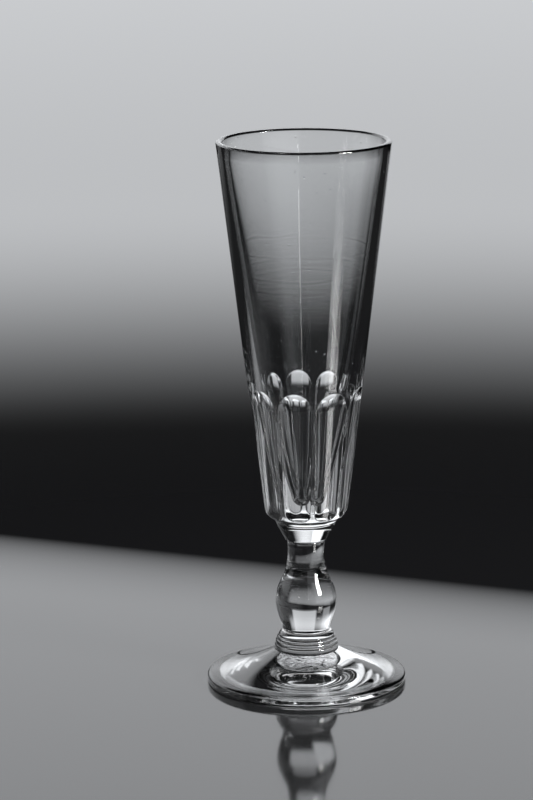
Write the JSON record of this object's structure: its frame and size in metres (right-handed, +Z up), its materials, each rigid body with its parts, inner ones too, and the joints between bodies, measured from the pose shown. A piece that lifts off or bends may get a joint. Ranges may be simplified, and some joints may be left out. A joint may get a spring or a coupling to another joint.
{
  "type": "champagne flute",
  "caption": "Tall conical stemmed drinking glass in heavy clear crystal, with hollow-cut flutes round its lower bowl, an egg-shaped knop stem and a spreading round foot.",
  "frame": {"origin": "centre of the foot's resting ring, on the surface that the glass stands on", "axes": "+Z up the glass's axis from foot to rim; -Y faces the middle of one cut flute"},
  "size_m": [0.0626, 0.0626, 0.172],
  "materials": {
    "crystal": "colourless lead crystal, fire-polished on blown surfaces and wheel-polished in the cuts, with faint tooling striae and a few seeds"
  },
  "bodies": {
    "root": {"foot": "crystal", "foot_merese": "crystal", "stem": "crystal", "bowl_merese": "crystal", "bowl": "crystal"}
  },
  "joints": []
}
